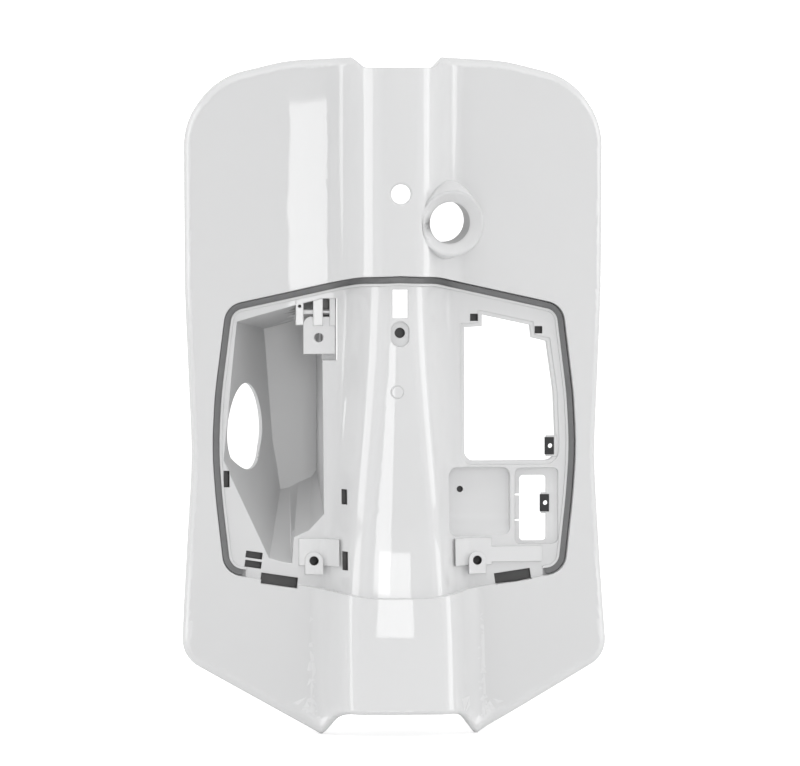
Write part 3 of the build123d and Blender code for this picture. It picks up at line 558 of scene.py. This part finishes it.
def seal_material():
    material = bpy.data.materials.new("grey_seal_painted_shade")
    material.use_nodes = True
    tree = material.node_tree
    shader = tree.nodes["Principled BSDF"]
    place = node(tree, "ShaderNodeTexCoord", (-900, 0))
    dust = node(tree, "ShaderNodeTexNoise", (-700, 100), Scale=60.0, Detail=5.0)
    grain = node(tree, "ShaderNodeTexNoise", (-700, -200), Scale=900.0, Detail=2.0)
    # Painted shade: the strip's mid grey stands for the shade in the channel; the noise varies its tone at
    # random.
    shade = node(tree, "ShaderNodeMix", (-400, 150), data_type="RGBA")
    shade.inputs["A"].default_value = (0.2, 0.201, 0.204, 1)
    shade.inputs["B"].default_value = (0.26, 0.261, 0.264, 1)
    bump = node(tree, "ShaderNodeBump", (-300, -200), Strength=0.25, Distance=0.0002)
    tree.links.new(place.outputs["Object"], dust.inputs["Vector"])
    tree.links.new(place.outputs["Object"], grain.inputs["Vector"])
    tree.links.new(dust.outputs["Fac"], shade.inputs["Factor"])
    tree.links.new(grain.outputs["Fac"], bump.inputs["Height"])
    tree.links.new(shade.outputs["Result"], shader.inputs["Base Color"])
    tree.links.new(bump.outputs["Normal"], shader.inputs["Normal"])
    shader.inputs["Roughness"].default_value = 0.5
    return material


def realized(source, tree, name):
    """Applies the node tree to source and returns the result as a plain mesh object."""
    modifier = source.modifiers.new("build", "NODES")
    modifier.node_group = tree
    evaluated = source.evaluated_get(bpy.context.evaluated_depsgraph_get())
    mesh = bpy.data.meshes.new_from_object(evaluated)
    mesh.name = name
    made = bpy.data.objects.new(name, mesh)
    bpy.context.scene.collection.objects.link(made)
    bpy.data.objects.remove(source)
    return made


route = curve_object("seal_route", seal_route())
section = curve_object("seal_section", seal_profile(), closed=True)
seal = realized(route, sweep_tree(section, seal_material()), "door_seal")
bpy.data.objects.remove(section)
for polygon in seal.data.polygons:
    polygon.use_smooth = True
seal.data.set_sharp_from_angle(angle=math.radians(40))
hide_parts("glovebox_seal")
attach(seal, "root")

# Clip nuts. Each is a strip of black phosphated spring steel, folded round a tongue of the moulding, with a
# threaded collar pressed out behind. One sits at the tall opening and one at the socket opening.
def nut_material():
    material = bpy.data.materials.new("black_phosphate")
    material.use_nodes = True
    tree = material.node_tree
    shader = tree.nodes["Principled BSDF"]
    place = node(tree, "ShaderNodeTexCoord", (-900, 0))
    mottle = node(tree, "ShaderNodeTexNoise", (-700, 100), Scale=260.0, Detail=6.0)
    wear = node(tree, "ShaderNodeMapRange", (-450, -50))
    wear.inputs["From Min"].default_value = 0.35
    wear.inputs["From Max"].default_value = 0.7
    wear.inputs["To Min"].default_value = 0.38
    wear.inputs["To Max"].default_value = 0.6
    shade = node(tree, "ShaderNodeMix", (-450, 200), data_type="RGBA")
    shade.inputs["A"].default_value = (0.018, 0.018, 0.019, 1)
    shade.inputs["B"].default_value = (0.05, 0.05, 0.052, 1)
    tree.links.new(place.outputs["Object"], mottle.inputs["Vector"])
    tree.links.new(mottle.outputs["Fac"], wear.inputs["Value"])
    tree.links.new(mottle.outputs["Fac"], shade.inputs["Factor"])
    tree.links.new(shade.outputs["Result"], shader.inputs["Base Color"])
    tree.links.new(wear.outputs["Result"], shader.inputs["Roughness"])
    shader.inputs["Metallic"].default_value = 0.55
    return material


nuts = merged_copy("clip_nuts", "clip_nut_pair")
nuts.data.materials.append(nut_material())
places, corners, normals, weights = mesh_arrays(nuts.data)
nuts.data.polygons.foreach_set("use_smooth", np.ones(len(nuts.data.polygons), bool))
nuts.data.normals_split_custom_set(smooth_corner_normals(places, corners, normals, weights))
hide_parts("clip_nuts")
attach(nuts, "root")

# Studio. A pale floor that curves up into the backdrop, an even white room, a large softbox in front on the
# left whose reflection stands on the left wing, and two tall strips that draw the lines along the spine.
FLOOR_Z = first_bounds[0].z - 0.0005
CAMERA_TARGET = Vector((0.0041, 0.049, -0.0532))
CAMERA_AZIMUTH = math.radians(-4.5)
CAMERA_ELEVATION = math.radians(2.0)
CAMERA_DISTANCE = 8.0
FRAME_WIDTH = 0.8264
BACKDROP_GLOW = 0.45


def white_for_camera(tree, place, light_strength):
    """A value that is 1 where the camera or a mirror looks, and light_strength for the light itself."""
    path = node(tree, "ShaderNodeLightPath", place)
    seen = node(tree, "ShaderNodeMath", (place[0] + 200, place[1]), operation="MAXIMUM")
    strength = node(tree, "ShaderNodeMapRange", (place[0] + 400, place[1]))
    strength.inputs["To Min"].default_value = light_strength
    tree.links.new(path.outputs["Is Camera Ray"], seen.inputs[0])
    tree.links.new(path.outputs["Is Glossy Ray"], seen.inputs[1])
    tree.links.new(seen.outputs["Value"], strength.inputs["Value"])
    return strength.outputs["Result"]


def backdrop_material():
    """White paper. A camera that stands behind it looks through it."""
    material = bpy.data.materials.new("paper_backdrop")
    material.use_nodes = True
    tree = material.node_tree
    shader = tree.nodes["Principled BSDF"]
    shader.inputs["Base Color"].default_value = (0.9, 0.9, 0.9, 1)
    shader.inputs["Roughness"].default_value = 0.9
    shader.inputs["Emission Color"].default_value = (1, 1, 1, 1)
    path = node(tree, "ShaderNodeLightPath", (-600, -300))
    glow = node(tree, "ShaderNodeMath", (-300, -300), operation="MULTIPLY")
    glow.inputs[1].default_value = BACKDROP_GLOW
    tree.links.new(path.outputs["Is Camera Ray"], glow.inputs[0])
    tree.links.new(glow.outputs["Value"], shader.inputs["Emission Strength"])
    side = node(tree, "ShaderNodeNewGeometry", (-600, 300))
    behind = node(tree, "ShaderNodeMath", (-300, 300), operation="MULTIPLY")
    clear = node(tree, "ShaderNodeBsdfTransparent", (0, 300))
    seen = node(tree, "ShaderNodeMixShader", (300, 300))
    tree.links.new(side.outputs["Backfacing"], behind.inputs[0])
    tree.links.new(path.outputs["Is Camera Ray"], behind.inputs[1])
    tree.links.new(behind.outputs["Value"], seen.inputs["Fac"])
    tree.links.new(shader.outputs["BSDF"], seen.inputs[1])
    tree.links.new(clear.outputs["BSDF"], seen.inputs[2])
    tree.links.new(seen.outputs["Shader"], tree.nodes["Material Output"].inputs["Surface"])
    return material


def backdrop(width=14.0, front=-10.0, back=3.0, height=7.0, bend=1.5):
    """Paper sweep: floor, a quarter turn and a wall."""
    turn = np.linspace(0, math.pi / 2, 17)
    profile = [(front, FLOOR_Z)]
    profile += [(back - bend + bend * math.sin(a), FLOOR_Z + bend - bend * math.cos(a)) for a in turn]
    profile.append((back, FLOOR_Z + height))
    vertices = [(side * width / 2, y, z) for y, z in profile for side in (-1, 1)]
    faces = [(2 * i, 2 * i + 1, 2 * i + 3, 2 * i + 2) for i in range(len(profile) - 1)]
    mesh = bpy.data.meshes.new("paper_sweep")
    mesh.from_pydata(vertices, [], faces)
    mesh.polygons.foreach_set("use_smooth", np.ones(len(faces), bool))
    mesh.materials.append(backdrop_material())
    made = bpy.data.objects.new("paper_sweep", mesh)
    bpy.context.scene.collection.objects.link(made)


def softbox(name, azimuth, elevation, distance, radiance, centre=(0, 0, 0)):
    """Rectangular lamp that covers a range of azimuth and elevation, in degrees, seen from centre."""
    turn = [math.radians(v) for v in azimuth]
    lift = [math.radians(v) for v in elevation]
    across = sum(turn) / 2
    up = sum(lift) / 2
    towards = Vector((math.sin(across) * math.cos(up), -math.cos(across) * math.cos(up), math.sin(up)))
    lamp = bpy.data.lights.new(name, "AREA")
    lamp.shape = "RECTANGLE"
    lamp.size = 2 * distance * math.tan((turn[1] - turn[0]) / 2)
    lamp.size_y = 2 * distance * math.tan((lift[1] - lift[0]) / 2)
    lamp.energy = radiance * math.pi * lamp.size * lamp.size_y
    made = bpy.data.objects.new(name, lamp)
    made.location = Vector(centre) + towards * distance
    made.rotation_euler = (-towards).to_track_quat("-Z", "Y").to_euler()
    made.visible_camera = False
    bpy.context.scene.collection.objects.link(made)


def even_room(strength):
    world = bpy.data.worlds.new("white_room")
    world.use_nodes = True
    tree = world.node_tree
    light = tree.nodes["Background"]
    light.inputs["Color"].default_value = (1, 1, 1, 1)
    tree.links.new(white_for_camera(tree, (-700, 0), strength), light.inputs["Strength"])
    bpy.context.scene.world = world


backdrop()
even_room(0.66)
softbox("wing_box", (-3.3, 4.1), (-19.7, -6.9), 1.25, 4.2, centre=(-0.09, 0.05, 0.13))
softbox("left_box", (-113, -89), (-2.5, 30), 2.5, 2.3)
softbox("right_box", (78, 104), (-2.5, 30), 2.5, 2.3)
softbox("spine_box", (-4.5, 9.0), (1.6, 20.0), 14, 4.2)
softbox("top_box", (-40, 40), (55, 85), 2.5, 1.0)

away = Vector((
    math.sin(CAMERA_AZIMUTH) * math.cos(CAMERA_ELEVATION),
    -math.cos(CAMERA_AZIMUTH) * math.cos(CAMERA_ELEVATION),
    math.sin(CAMERA_ELEVATION),
))
camera_data = bpy.data.cameras.new("camera")
camera_data.sensor_width = 36
camera_data.lens = 36 * CAMERA_DISTANCE / FRAME_WIDTH
camera = bpy.data.objects.new("camera", camera_data)
camera.location = CAMERA_TARGET + away * CAMERA_DISTANCE
camera.rotation_euler = (-away).to_track_quat("-Z", "Y").to_euler()
bpy.context.scene.collection.objects.link(camera)
bpy.context.scene.camera = camera
bpy.context.scene.view_settings.view_transform = "Standard"
